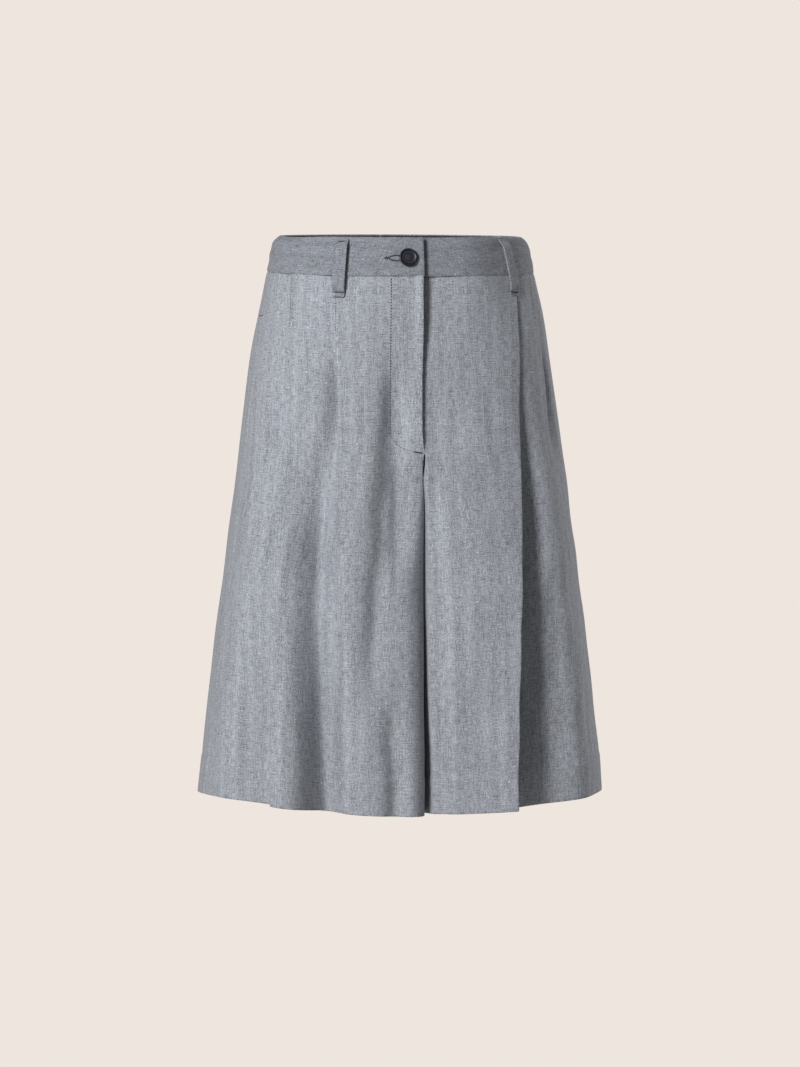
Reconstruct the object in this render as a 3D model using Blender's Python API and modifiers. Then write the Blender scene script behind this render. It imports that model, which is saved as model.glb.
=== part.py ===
"""Pleated bermuda shorts, hollow as when worn, at real size.

+Z is up, the front faces -Y and the wearer's left is at +X. The origin is the
middle of the waist opening, level with the waist's sides. Sizes are given in
millimetres and become metres when a mesh is made.

Each cloth piece is a wall on a grid of points: its columns are walked along the
cloth from the side seam, and its rows hang down from the waistband to the hem.
"""
import math

import bpy
import numpy as np

MM = 0.001

# walls and gaps
CLOTH = 1.2                 # one layer of the panels
BAND_WALL = 2.0             # waistband, two layers and their interlining
LOOP_WALL = 1.6             # belt loop, a folded strip
SEAM_GAP = 0.3              # between two pieces along a seam
FOLD_RADIUS = 0.8           # middle of the cloth in a pressed fold

# the waist line and the hem
BAND_HEIGHT = 35.0
TOP_DROP = 0.3              # waistband's edge at the sides, below the origin
WAIST_TILT = 8.2            # the edge is this much lower in front, higher behind
SEAM_DROP = 34.2            # waistband's seam at the sides
SEAM_TILT = 10.3
WAIST_ROLL = 0.012          # rise of the waist a millimetre towards the wearer's left
ROLL_FADE = 200.0           # it fades out over this length below the band
HEM_LEVEL = 552.5           # length at the sides
HEM_DIP = 19.5              # the hem's middle hangs this much lower
HEM_CURVE = 2.1             # power of the curve by which it does
LEG_RAISE = 1.9             # the left leg's hem is this much higher

# the closed front and the crotch
FLY_LEVEL = 206.5           # the fly ends here and the crotch seam starts
CROTCH_LEVEL = 296.5        # the four panels meet here
SEAT_LEVEL = 190.0          # the back's crotch seam starts to turn inwards here
INSEAM_Y = 10.0
SIDE_SEAM_Y = -16.0
FLY_LAP = 0.6               # the right front reaches past the middle
UNDER_LAP = 5.0             # the left front runs on under it
UNDER_DEPTH = 2.1           # and lies this much deeper
UNDER_END = 4.0             # it comes up to the seam this much above the fly's end
LEG_GAP_TOP = 0.9           # inner leg walls, from the middle plane, at the fly's end
LEG_GAP_SOON = {"right": -1.3, "left": 2.9}     # soon below it; the right leg laps a little over the middle
LEG_GAP_HEM = {"right": -0.9, "left": 5.6}
LEG_GAP_RUN = 100.0
STRIP = 7.0                 # strip along the middle seam that becomes the inner leg
UNDER_EASE = 16.0           # width over which the left front sinks under the right one
UNDER_RUN = 11.0            # length over which it widens to its under lap
CROTCH_CURVE = 1.8          # power of the curve by which the crotch seam turns inwards
CORNERS = {"front_right": 20.0, "front_left": 7.0, "back_right": 12.0, "back_left": 12.0}
CORNER_START = 2.0          # radius of a leg's corner at the top of the crotch seam
CORNER_GROWTH = 150.0       # length over which it grows to the radius above

# horizontal sections of the whole garment at a level below the waist
SECTION_COLUMNS = ("level", "half_width", "front", "back", "square")
SECTIONS = (
    (0.0, 126.5, 96.0, 96.0, 2.10),
    (35.0, 133.5, 101.0, 101.0, 2.10),
    (65.0, 140.0, 103.5, 107.0, 2.15),
    (105.0, 147.2, 106.0, 114.0, 2.20),
    (165.0, 155.3, 109.0, 121.0, 2.30),
    (265.0, 167.8, 112.5, 125.0, 2.40),
    (365.0, 181.0, 115.0, 126.0, 2.45),
    (465.0, 192.2, 117.0, 127.0, 2.50),
    (HEM_LEVEL, 201.5, 118.5, 128.0, 2.50),
)

# knife pleats, folds facing the side: where the fold lies and how early it swings
# out, how far its middle layer runs, the angle it still turns by at the hem (180
# is closed) and how softly, and how wide the underlay eases back to the panel after
# it has held its depth for a while; then how much faster than the hem is reached the
# fold opens and its middle layer takes its width, and the power by which it softens
STITCHED_LEVEL = 102.0
PLEAT_COLUMNS = ("x_top", "x_hem", "swing", "middle_top", "middle_hem", "turn_hem",
                 "radius_hem", "ease_top", "ease_hem", "hold_hem", "rate", "middle_rate", "power")
PLEATS = {
    "right": ((121.0, 149.5, 2.0, 18.0, 24.0, 152.0, 1.2, 24.0, 60.0, 0.0, 1.3, 2.5, 3.0),
              (84.5, 81.0, 1.0, 20.0, 6.0, 42.0, 8.0, 24.0, 42.0, 0.0, 3.2, 7.0, 1.0)),
    "left": ((122.5, 160.0, 1.0, 12.0, 3.0, 6.0, 8.0, 18.0, 50.0, 0.0, 3.2, 7.0, 1.0),
             (101.4, 91.5, 1.0, 20.0, 44.0, 140.0, 1.0, 22.0, 74.0, 18.0, 1.3, 2.5, 3.0)),
}

# soft folds of the hanging cloth: x of the crest at the waist and at the hem,
# level where it starts, its spread, and how far it stands out at the hem
SPREAD_TOP, SPREAD_HEM = 0.7, 1.2   # shares of that spread
FOLD_FADE = 14.0            # folds fade out over this width beside a leg's corner
FOLD_COLUMNS = ("x_top", "x_hem", "start", "spread", "rise")
FOLDS = {
    "front_right": ((114.0, 102.5, 60.0, 12.5, -33.0), (132.0, 135.0, 90.0, 13.0, 7.0)),
    "front_left": ((108.0, 104.0, 90.0, 31.0, 18.0),),
    "back_right": ((104.0, 138.0, 120.0, 22.0, 7.0), (70.0, 92.0, 120.0, 18.0, -6.0),
                   (38.0, 48.0, 160.0, 18.0, 5.0)),
    "back_left": ((96.0, 126.0, 120.0, 20.0, 6.0), (62.0, 80.0, 120.0, 17.0, -6.0),
                  (30.0, 40.0, 160.0, 16.0, 4.0)),
}

# one long crease that the body pulls beside the fly: from x and level to x and
# level, its width, and how far it stands out; it swells and fades along its length
CREASE_COLUMNS = ("x_from", "level_from", "x_to", "level_to", "width", "rise")
CREASES = {"front_right": ((38.0, 80.0, 57.0, 520.0, 8.5, -9.0),)}
CREASE_FADE = 0.35          # share of its length over which it does so at each end

# belt loops: side of the body, +1 in front and -1 behind, x at the top and bottom
LOOP_COLUMNS = ("side", "facing", "x_top", "x_bottom")
LOOPS = {
    "belt_loop_front_right": (-1, 1, 75.0, 81.0),
    "belt_loop_front_left": (1, 1, 85.8, 97.0),
    "belt_loop_back_right": (-1, -1, 84.0, 88.0),
    "belt_loop_back_left": (1, -1, 84.0, 88.0),
    "belt_loop_back_centre": (1, -1, 0.0, 0.0),
}
LOOP_WIDTH = 11.0
LOOP_TOP_LEVEL = 1.0
LOOP_END_LEVEL = 56.0
LOOP_STAND = 2.6            # the middle of a loop stands this much off the band
LOOP_SLACK = 0.1            # and its ends lie this much above their seam gap
LOOP_RISE, LOOP_FALL = 0.16, 0.2        # shares of its length where it leaves and rejoins them
LOOP_STEP = 0.6             # share where it passes from the band to the panel
LOOP_STATIONS = (0.0, 0.06, 0.13, 0.25, 0.4, 0.55, 0.7, 0.82, 0.92, 1.0)

BUTTON_X = -13.4
BUTTON_LEVEL = 18.0
BUTTON_RADIUS = 9.0
BUTTON_PROFILE = (          # radius as a share, and height above the band, from the face down
    (0.0, 3.1), (0.578, 3.1), (0.667, 3.8), (0.844, 4.3), (0.944, 4.1), (1.0, 3.3),
    (1.0, 2.6), (0.933, 1.9), (0.356, 1.6), (0.333, 0.0), (0.0, 0.0))
BUTTON_STEPS = 28
BAND_UNDERLAP = 33.0        # the left band runs on this far behind the right one
BAND_SINK = 2.6             # and lies this much deeper
BAND_LEVELS = (0.0, 17.5, 34.85)
BAND_LAST_STEP = 8.0        # the common columns stop this far from the middle
SHIELD_FROM = -21.0         # the fly shield's edges
SHIELD_TO = 11.0
SHIELD_DEPTH = 3.9
SHIELD_LEVELS = (35.5, 80.0, 125.0, 170.0, 190.5)

ROWS = (35.15, 58.0, 82.0, 102.0, 124.0, 148.0, 172.0, 191.0, 202.5, 206.5, 217.0, 232.0, 250.0,
        268.0, 284.0, 296.5, 315.0, 345.0, 385.0, 430.0, 475.0, 520.0, HEM_LEVEL)
FACE_STEPS = 160            # fine steps from which distances along a row are read
FRONT_TAIL = (7, 3, 3)      # columns from the inner pleat on: face, corner and inner wall
BACK_COLUMNS = (15, 3, 3)

SIDES = {"right": -1.0, "left": 1.0}
COLOURS = {
    "cloth": (0.235, 0.265, 0.315, 1.0),
    "band": (0.225, 0.255, 0.305, 1.0),
    "button": (0.012, 0.014, 0.024, 1.0),
}


# ---------------------------------------------------------------- small helpers
def smooth_step(t):
    """0 below 0, 1 above 1, and 3t^2 - 2t^3 between."""
    t = np.clip(t, 0.0, 1.0)
    return t * t * (3.0 - 2.0 * t)


def mix(low, high, t):
    return low + (high - low) * t


def section(name, level):
    """One size of the garment's horizontal section, by a smooth curve through the table."""
    table = np.array(SECTIONS)
    at = table[:, 0]
    value = table[:, SECTION_COLUMNS.index(name)]
    slope = np.gradient(value, at)
    i = np.clip(np.searchsorted(at, level) - 1, 0, len(at) - 2)
    span = at[i + 1] - at[i]
    t = (level - at[i]) / span
    start = (1 + 2 * t) * (1 - t) ** 2 * value[i] + t * (1 - t) ** 2 * span * slope[i]
    end = t * t * (3 - 2 * t) * value[i + 1] + t * t * (t - 1) * span * slope[i + 1]
    return start + end


def height(level, across, lean):
    """Z of a point: `across` is x over the half width, `lean` runs from -1 in front to +1 behind."""
    top = -TOP_DROP + WAIST_TILT * lean
    seam = -SEAM_DROP + SEAM_TILT * lean
    hem = -HEM_LEVEL - HEM_DIP * (1.0 - np.abs(across) ** HEM_CURVE)
    above = np.clip(1.0 - level / BAND_HEIGHT, 0.0, None)
    down = np.clip((level - BAND_HEIGHT) / (HEM_LEVEL - BAND_HEIGHT), 0.0, 1.0)
    return seam + above * (top - seam) + down * (hem - seam)


def ring(theta, level):
    """Plan point of the cloth's middle on an oval section.

    x = half_width * cos^(2/k) and y = -depth * sin^(2/k), with k the section's
    squareness; theta is 0 at the side, 90 degrees in front and -90 behind.
    """
    power = 2.0 / section("square", level)
    cos, sin = np.cos(theta), np.sin(theta)
    depth = np.where(sin > 0, section("front", level), section("back", level))
    x = section("half_width", level) * np.sign(cos) * np.abs(cos) ** power
    return x, -depth * np.sign(sin) * np.abs(sin) ** power


def angle_at(x, level):
    """Angle on the oval section where it is x wide."""
    return np.arccos(np.clip(x / section("half_width", level), 0, 1) ** (section("square", level) / 2))


def lift(x, y, level, side):
    """Height of a plan point on the section at a level; `side` is +1 on the wearer's left."""
    depth = np.where(y < 0, section("front", level), section("back", level))
    rolled = side * WAIST_ROLL * x * (1.0 - np.clip((level - BAND_HEIGHT) / ROLL_FADE, 0.0, 1.0))
    leg = smooth_step((level - CROTCH_LEVEL) / (HEM_LEVEL - CROTCH_LEVEL))
    raised = LEG_RAISE * leg * (side > 0)
    return height(level, x / section("half_width", level), y / depth) + rolled + raised


def read_rows(key, values, wanted):
    """Each row's values at the wanted keys, which run from 0 to 1 along the row.

    Adding twice the row's number to its keys makes all rows one rising list.
    """
    shift = 2.0 * np.arange(key.shape[0])[:, None]
    asked = np.clip(wanted, 0.0, 1.0) + shift
    return np.interp(asked.ravel(), (key + shift).ravel(), values.ravel()).reshape(asked.shape)


# ---------------------------------------------------------------- the legs' plan
def crotch_line(levels, back):
    """How far the crotch seam has left the middle of the front or back (0), to the inseam (1)."""
    start = SEAT_LEVEL if back else FLY_LEVEL
    return np.clip((levels - start) / (CROTCH_LEVEL - start), 0.0, 1.0) ** CROTCH_CURVE


def leg_plan(levels, back, side):
    """One row a level: the outer face, a round corner at the front or back, and the inner wall.

    The face is the oval section from the side seam. Below the crotch seam's start
    it turns inwards by a quarter circle and runs back along the middle plane.
    """
    sign = 1.0 if back else -1.0
    corner = CORNERS[("back_" if back else "front_") + side]
    depth = section("back" if back else "front", levels)
    square = section("square", levels)
    inward = crotch_line(levels, back)
    seam_y = mix(sign * depth, INSEAM_Y + sign * SEAM_GAP / 2, inward)
    reach = np.abs(seam_y - sign * depth)
    open_leg = smooth_step((levels - FLY_LEVEL) / (HEM_LEVEL - FLY_LEVEL))
    grown = smooth_step((levels - FLY_LEVEL) / CORNER_GROWTH)
    radius = np.minimum(mix(CORNER_START, corner, grown), 0.8 * reach)
    parted = smooth_step((levels - FLY_LEVEL) / LEG_GAP_RUN)
    inner_x = mix(LEG_GAP_TOP, mix(LEG_GAP_SOON[side], LEG_GAP_HEM[side], open_leg), parted)
    stop_x = np.where(inward > 0, inner_x + radius, 0.0)

    start = np.arcsin((-SIDE_SEAM_Y / section("front", levels)) ** (square / 2))
    stop = -sign * np.arccos((stop_x / section("half_width", levels)) ** (square / 2))
    key = np.linspace(0.0, 1.0, FACE_STEPS)[None, :]
    theta = mix(start[:, None], stop[:, None], key)
    x, y = ring(theta, levels[:, None])
    step = np.hypot(np.diff(x, axis=1), np.diff(y, axis=1))
    dist = np.concatenate([np.zeros((len(levels), 1)), np.cumsum(step, axis=1)], axis=1)
    tx, ty = np.gradient(x, axis=1), np.gradient(y, axis=1)
    size = np.hypot(tx, ty)
    face = dist[:, -1]
    turn = radius * math.pi / 2 * (inward > 0)
    inner = np.where(inward > 0, np.abs(seam_y - (y[:, -1] - sign * radius)), 0.0)
    return {"levels": levels, "sign": sign, "key": key + 0 * dist, "x": x, "y": y, "dist": dist,
            "nx": sign * ty / size, "ny": -sign * tx / size, "start": start, "stop": stop,
            "face": face, "turn": turn, "inner": inner, "radius": np.maximum(radius, 1e-6),
            "inner_x": inner_x, "inward": inward}


def walk(plan, distance):
    """Plan point and outward direction at a distance from the side seam."""
    face, turn = plan["face"][:, None], plan["turn"][:, None]
    radius, sign = plan["radius"][:, None], plan["sign"]
    part = plan["dist"] / face
    x = read_rows(part, plan["x"], distance / face)
    y = read_rows(part, plan["y"], distance / face)
    nx = read_rows(part, plan["nx"], distance / face)
    ny = read_rows(part, plan["ny"], distance / face)

    past = np.clip(distance - face, 0.0, None)
    turned = np.minimum(past, turn) / radius
    corner = turn > 0
    x = np.where(corner, x - radius * np.sin(turned), x - past)
    y = np.where(corner, y - sign * radius * (1 - np.cos(turned)), y)
    y = y - sign * np.where(corner, np.clip(past - turn, 0.0, None), 0.0)
    on_corner = corner & (past > 0)
    nx = np.where(on_corner, -np.sin(turned), nx)
    ny = np.where(on_corner, sign * np.cos(turned), ny)
    return x, y, nx, ny


def tail_columns(plan, start, end, counts):
    """Distances of the columns from `start` to the panel's inner edge at `end`.

    They share out over the face, the corner and the inner wall. Above the
    crotch, the columns of the corner and the wall stay in a narrow strip.
    """
    corner = plan["turn"][:, None] > 0
    narrow = STRIP / (counts[1] + counts[2])
    face_end = np.where(corner, plan["face"][:, None], end - STRIP)
    turn_end = np.where(corner, plan["face"][:, None] + plan["turn"][:, None], face_end + narrow * counts[1])
    on_face = mix(start, face_end, np.linspace(0.0, 1.0, counts[0] + 1)[None, :])
    on_turn = mix(face_end, turn_end, np.linspace(0.0, 1.0, counts[1] + 1)[None, 1:])
    on_wall = mix(turn_end, end, np.linspace(0.0, 1.0, counts[2] + 1)[None, 1:])
    return np.concatenate([on_face, on_turn, on_wall], axis=1)


def soft_folds(piece, x, plan):
    """How far the hanging cloth stands out: bell-shaped ridges and troughs that grow downwards."""
    levels = plan["levels"]
    corner = (plan["inner_x"] + CORNERS[piece])[:, None]
    out = np.zeros_like(x)
    for row in FOLDS[piece]:
        fold = dict(zip(FOLD_COLUMNS, row))
        grown = smooth_step((levels - fold["start"]) / (HEM_LEVEL - fold["start"]))[:, None]
        crest = mix(fold["x_top"], fold["x_hem"], grown)
        spread = fold["spread"] * mix(SPREAD_TOP, SPREAD_HEM, grown)
        out += fold["rise"] * grown * np.exp(-0.5 * ((x - crest) / spread) ** 2)
    return out * smooth_step((x - corner) / FOLD_FADE)


def creases(piece, x, levels):
    """How far the creases stand out: a bell across each line, swelling and fading along it."""
    out = np.zeros_like(x)
    for row in CREASES.get(piece, ()):
        crease = dict(zip(CREASE_COLUMNS, row))
        dx, dl = crease["x_to"] - crease["x_from"], crease["level_to"] - crease["level_from"]
        length = math.hypot(dx, dl)
        along = ((x - crease["x_from"]) * dx + (levels - crease["level_from"]) * dl) / length
        off = ((x - crease["x_from"]) * dl - (levels - crease["level_from"]) * dx) / length
        share = along / length
        grown = smooth_step(share / CREASE_FADE) * smooth_step((1 - share) / CREASE_FADE)
        out += crease["rise"] * grown * np.exp(-0.5 * (off / crease["width"]) ** 2)
    return out


# ---------------------------------------------------------------- pleats
def pleat_sizes(row, plan):
    """A pleat's sizes at each level: closed where it is stitched, easing open below."""
    pleat = dict(zip(PLEAT_COLUMNS, row))
    levels = plan["levels"]
    hang = np.clip((levels - STITCHED_LEVEL) / (HEM_LEVEL - STITCHED_LEVEL), 0.0, 1.0)
    down = (levels - BAND_HEIGHT) / (HEM_LEVEL - BAND_HEIGHT)
    fold_x = mix(pleat["x_top"], pleat["x_hem"], 1.0 - (1.0 - down) ** pleat["swing"])
    theta = angle_at(fold_x, levels)
    key = (theta - plan["start"]) / (plan["stop"] - plan["start"])
    size = {
        "edge": read_rows(plan["key"], plan["dist"], key[:, None])[:, 0],
        "turn": np.radians(mix(180.0, pleat["turn_hem"], smooth_step(pleat["rate"] * hang))),
        "radius": mix(FOLD_RADIUS, pleat["radius_hem"], hang ** pleat["power"]),
        "middle": mix(pleat["middle_top"], pleat["middle_hem"], smooth_step(pleat["middle_rate"] * hang)),
        "ease": mix(pleat["ease_top"], pleat["ease_hem"], smooth_step(hang)),
        "hold": pleat["hold_hem"] * hang,
    }
    size["advance"] = 2 * size["radius"] * np.sin(size["turn"]) + size["middle"] * np.cos(size["turn"])
    size["depth"] = (2 * size["radius"] * (1 - np.cos(size["turn"]))
                     + size["middle"] * np.sin(size["turn"]))
    size["end"] = size["edge"] + size["radius"] * np.sin(np.minimum(size["turn"], math.pi / 2))
    size["start"] = size["end"] - size["advance"]
    return size


def fold_walk(size, arc_steps, middle_steps):
    """The pleat's S seen from above, from its underlay to its top layer.

    The cloth turns by an angle round an arc, runs straight on as the middle
    layer, and turns back by the same angle. Gives distance along and outwards.
    """
    turn, radius = size["turn"][:, None], size["radius"][:, None]
    middle = size["middle"][:, None]
    first = turn * np.linspace(0.0, 1.0, arc_steps + 1)[None, :]
    run = middle * np.linspace(0.0, 1.0, middle_steps + 1)[None, 1:]
    second = turn * np.linspace(0.0, 1.0, arc_steps + 1)[None, 1:]
    bend_along, bend_out = radius * np.sin(turn), radius * (1 - np.cos(turn))
    along = np.concatenate([
        radius * np.sin(first),
        bend_along + run * np.cos(turn),
        bend_along + middle * np.cos(turn) + radius * (np.sin(turn) - np.sin(turn - second))], axis=1)
    out = np.concatenate([
        radius * (1 - np.cos(first)),
        bend_out + run * np.sin(turn),
        bend_out + middle * np.sin(turn) + radius * (np.cos(turn - second) - np.cos(turn))], axis=1)
    return along, out


def underlay_dip(size, distance):
    """The panel sinks beside a fold edge to the depth of the underlay, and eases back."""
    edge = (np.minimum(size["start"], size["edge"]) - size["hold"])[:, None]
    return -size["depth"][:, None] * (1 - smooth_step((edge - distance) / size["ease"][:, None]))


# ---------------------------------------------------------------- panels
def front_grid(side):
    """Points of a front panel, as rows by columns by (x, y, z)."""
    levels = np.array(ROWS)
    plan = leg_plan(levels, False, side)
    outer, inner = (pleat_sizes(row, plan) for row in PLEATS[side])
    lap = FLY_LAP if side == "right" else UNDER_LAP
    closed = smooth_step((FLY_LEVEL - UNDER_END - levels) / UNDER_RUN)
    end = plan["face"] + np.where(plan["inward"] > 0, plan["turn"] + plan["inner"],
                                  mix(-LEG_GAP_TOP / 2, lap, closed))

    def stretch(start, stop, steps, skip):
        return mix(start[:, None], stop[:, None], np.linspace(0.0, 1.0, steps + 1)[None, skip:])

    outer_along, outer_out = fold_walk(outer, 2, 2)
    inner_along, inner_out = fold_walk(inner, 2, 2)
    zero = np.zeros_like(levels)
    to_outer = stretch(zero, outer["start"], 5, 0)[:, :-1]
    outer_fold = outer["start"][:, None] + outer_along
    between = stretch(outer["end"], inner["start"], 4, 1)[:, :-1]
    inner_fold = inner["start"][:, None] + inner_along
    tail = tail_columns(plan, inner["end"][:, None], end[:, None], FRONT_TAIL)[:, 1:]

    before_outer = to_outer.shape[1] + outer_fold.shape[1]
    before_inner = before_outer + between.shape[1] + inner_fold.shape[1]
    distance = np.concatenate([to_outer, outer_fold, between, inner_fold, tail], axis=1)
    rise = np.zeros_like(distance)
    at = to_outer.shape[1]
    rise[:, at:before_outer] = outer_out
    rise[:, before_outer:] = outer["depth"][:, None]
    at = before_outer + between.shape[1]
    rise[:, at:before_inner] += inner_out
    rise[:, before_inner:] += inner["depth"][:, None]
    column = np.arange(distance.shape[1])[None, :]
    rise += np.where(column < before_outer, underlay_dip(outer, distance), -outer["depth"][:, None])
    rise += np.where(column < before_inner, underlay_dip(inner, distance), -inner["depth"][:, None])

    if side == "left":
        under = 1 - smooth_step((end[:, None] - distance - UNDER_LAP - FLY_LAP - 1.0) / UNDER_EASE)
        rise -= UNDER_DEPTH * under * smooth_step((FLY_LEVEL - levels) / UNDER_END)[:, None]
    x, y, nx, ny = walk(plan, distance)
    rise += soft_folds("front_" + side, x, plan) + creases("front_" + side, x, levels[:, None])
    z = lift(x, y, levels[:, None], SIDES[side])
    return place(x + nx * rise, y + ny * rise, z, side)


def back_grid(side):
    """Points of a back panel, as rows by columns by (x, y, z)."""
    levels = np.array(ROWS)
    plan = leg_plan(levels, True, side)
    end = plan["face"] + np.where(plan["inward"] > 0, plan["turn"] + plan["inner"], -SEAM_GAP / 2)
    start = np.full((len(levels), 1), SEAM_GAP)
    distance = tail_columns(plan, start, end[:, None], BACK_COLUMNS)
    x, y, nx, ny = walk(plan, distance)
    rise = soft_folds("back_" + side, x, plan)
    z = lift(x, y, levels[:, None], SIDES[side])
    return place(x + nx * rise, y + ny * rise, z, side)


def place(x, y, z, side):
    """Stacks the coordinates and mirrors the wearer's right side."""
    return np.stack([SIDES[side] * x, y, z], axis=-1)


# ---------------------------------------------------------------- waistband and shield
def ring_grid(theta, levels, rise, side):
    """Wall points on the oval sections, moved outwards by `rise`."""
    x, y = ring(theta[None, :], levels[:, None])
    tx, ty = np.gradient(x, axis=1), np.gradient(y, axis=1)
    size = np.hypot(tx, ty)
    z = lift(x, y, levels[:, None], SIDES[side])
    return place(x - ty / size * rise, y + tx / size * rise, z, side)


def waistband_grid(side):
    """Half of the waistband from the centre back to its end at the closed front."""
    levels = np.array(BAND_LEVELS)
    mean_half = section("half_width", BAND_HEIGHT / 2)
    lap = FLY_LAP if side == "right" else BAND_UNDERLAP
    back_end = -math.pi / 2 + SEAM_GAP / 2 / mean_half
    theta = np.linspace(back_end, math.pi / 2 - BAND_LAST_STEP / mean_half, 23)
    if side == "right":
        theta = np.append(theta, math.pi / 2 + lap / mean_half)
        rise = 0.0
    else:
        theta = np.concatenate([theta, math.pi / 2 + np.array([-1.0, 4.0, 14.0, 24.0, lap]) / mean_half])
        past = (theta - math.pi / 2) * mean_half
        rise = -BAND_SINK * smooth_step((past + 10.0) / 9.0)[None, :]
    return ring_grid(theta, levels, rise, side)


def shield_grid():
    """The strip behind the fly: the front's own points, moved inwards."""
    levels = np.array(SHIELD_LEVELS)
    theta = math.pi / 2 - np.linspace(SHIELD_TO, SHIELD_FROM, 6) / section("half_width", 100.0)
    return ring_grid(theta, levels, -SHIELD_DEPTH, "left")


# ---------------------------------------------------------------- loops and button
def frame_at(side, facing, x, level):
    """Point on the cloth's middle, and the directions across and out of it."""
    def point(theta, at):
        px, py = ring(theta, at)
        return np.array([side * px, py, lift(px, py, at, side)])

    theta = facing * angle_at(x, level)
    here = point(theta, level)
    across = point(theta + 0.01, level) - point(theta - 0.01, level)
    down = point(theta, level + 0.5) - point(theta, level - 0.5)
    across /= np.linalg.norm(across)
    out = np.cross(across, down)
    out /= np.linalg.norm(out)
    if np.dot(out[:2], here[:2]) < 0:
        out = -out
    return here, across, out


def loop_grid(row):
    """A strip that is seated at both ends and stands off the band between them."""
    loop = dict(zip(LOOP_COLUMNS, row))
    rows = []
    for t in LOOP_STATIONS:
        x = mix(loop["x_top"], loop["x_bottom"], t)
        level = mix(LOOP_TOP_LEVEL, LOOP_END_LEVEL, t)
        here, across, out = frame_at(loop["side"], loop["facing"], x, level)
        wall = mix(BAND_WALL, CLOTH, smooth_step((t - LOOP_STEP) / 0.1))
        seat = (wall + LOOP_WALL) / 2 + SEAM_GAP + LOOP_SLACK
        stand = LOOP_STAND * smooth_step(t / LOOP_RISE) * smooth_step((1.0 - t) / LOOP_FALL)
        rows.append([here + across * w + out * (seat + stand)
                     for w in (-LOOP_WIDTH / 2, 0.0, LOOP_WIDTH / 2)])
    return np.array(rows)


def add_button(collection):
    """A turned button with a raised rim and a short shank, square to the band."""
    mesh = bpy.data.meshes.new("button")
    points = [(share * BUTTON_RADIUS * MM, 0.0, height_up * MM) for share, height_up in BUTTON_PROFILE]
    mesh.from_pydata(points, [(i, i + 1) for i in range(len(points) - 1)], [])
    button = new_object("button", mesh, "button", collection)
    screw = button.modifiers.new("turned", "SCREW")
    screw.axis = "Z"
    screw.steps = BUTTON_STEPS
    screw.render_steps = BUTTON_STEPS
    screw.use_merge_vertices = True
    screw.merge_threshold = 0.00001
    here, _, out = frame_at(-1, 1, -BUTTON_X, BUTTON_LEVEL)
    side_way = np.cross(out, [0.0, 0.0, 1.0])
    side_way /= np.linalg.norm(side_way)
    up = np.cross(side_way, out)
    seat = here + out * (BAND_WALL / 2 + SEAM_GAP)
    matrix = np.eye(4)
    matrix[:3, 0], matrix[:3, 1], matrix[:3, 2], matrix[:3, 3] = -side_way, up, out, seat * MM
    button.matrix_world = matrix.T.tolist()


# ---------------------------------------------------------------- objects
def material(name):
    """A plain finish with the part's own colour."""
    found = bpy.data.materials.get(name)
    if found:
        return found
    made = bpy.data.materials.new(name)
    made.use_nodes = True
    shader = made.node_tree.nodes["Principled BSDF"]
    shader.inputs["Base Color"].default_value = COLOURS[name]
    shader.inputs["Roughness"].default_value = 0.35 if name == "button" else 0.9
    shader.inputs["Metallic"].default_value = 0.0
    return made


def new_object(name, mesh, finish, collection):
    made = bpy.data.objects.new(name, mesh)
    collection.objects.link(made)
    mesh.materials.append(material(finish))
    return made


def add_wall(name, grid, wall, finish, collection, turn_round):
    """A cloth wall: the grid's faces, thickened equally to both sides."""
    rows, columns = grid.shape[:2]
    number = np.arange(rows * columns).reshape(rows, columns)
    corners = (number[:-1, :-1], number[:-1, 1:], number[1:, 1:], number[1:, :-1])
    if turn_round:
        corners = corners[::-1]
    faces = np.stack([corner.ravel() for corner in corners], axis=1)
    mesh = bpy.data.meshes.new(name)
    mesh.from_pydata((grid.reshape(-1, 3) * MM).tolist(), [], faces.tolist())
    made = new_object(name, mesh, finish, collection)
    mesh.shade_smooth()
    solid = made.modifiers.new("wall", "SOLIDIFY")
    solid.thickness = wall * MM
    solid.offset = 0.0
    return made


def main():
    for old in list(bpy.data.objects):
        bpy.data.objects.remove(old, do_unlink=True)
    shorts = bpy.data.collections.new("bermuda_shorts")
    bpy.context.scene.collection.children.link(shorts)
    for side in ("right", "left"):
        mirrored = side == "right"
        add_wall("front_" + side, front_grid(side), CLOTH, "cloth", shorts, mirrored)
        add_wall("back_" + side, back_grid(side), CLOTH, "cloth", shorts, not mirrored)
        add_wall("waistband_" + side, waistband_grid(side), BAND_WALL, "band", shorts, mirrored)
    add_wall("fly_shield", shield_grid(), CLOTH, "band", shorts, False)
    for name, row in LOOPS.items():
        add_wall(name, loop_grid(row), LOOP_WALL, "band", shorts, False)
    add_button(shorts)


main()
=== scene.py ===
# %% [markdown]
# # Pleated bermuda shorts in a grey melange weave
#
# The shorts are filled out as if somebody wore them, and they are hollow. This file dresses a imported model: it
# loads the model as a fixed frame, builds a finer cloth shell for each cut piece, and adds what is sewn on it.
# All sizes below are in millimetres and become metres when a mesh is made. +Z is up, the front faces -Y, and the
# wearer's left is at +X, which is the right-hand side of the picture. A level is measured down from the waist.

# %% The frame
import math

import bpy
import numpy as np
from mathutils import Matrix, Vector
from mathutils.bvhtree import BVHTree


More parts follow.
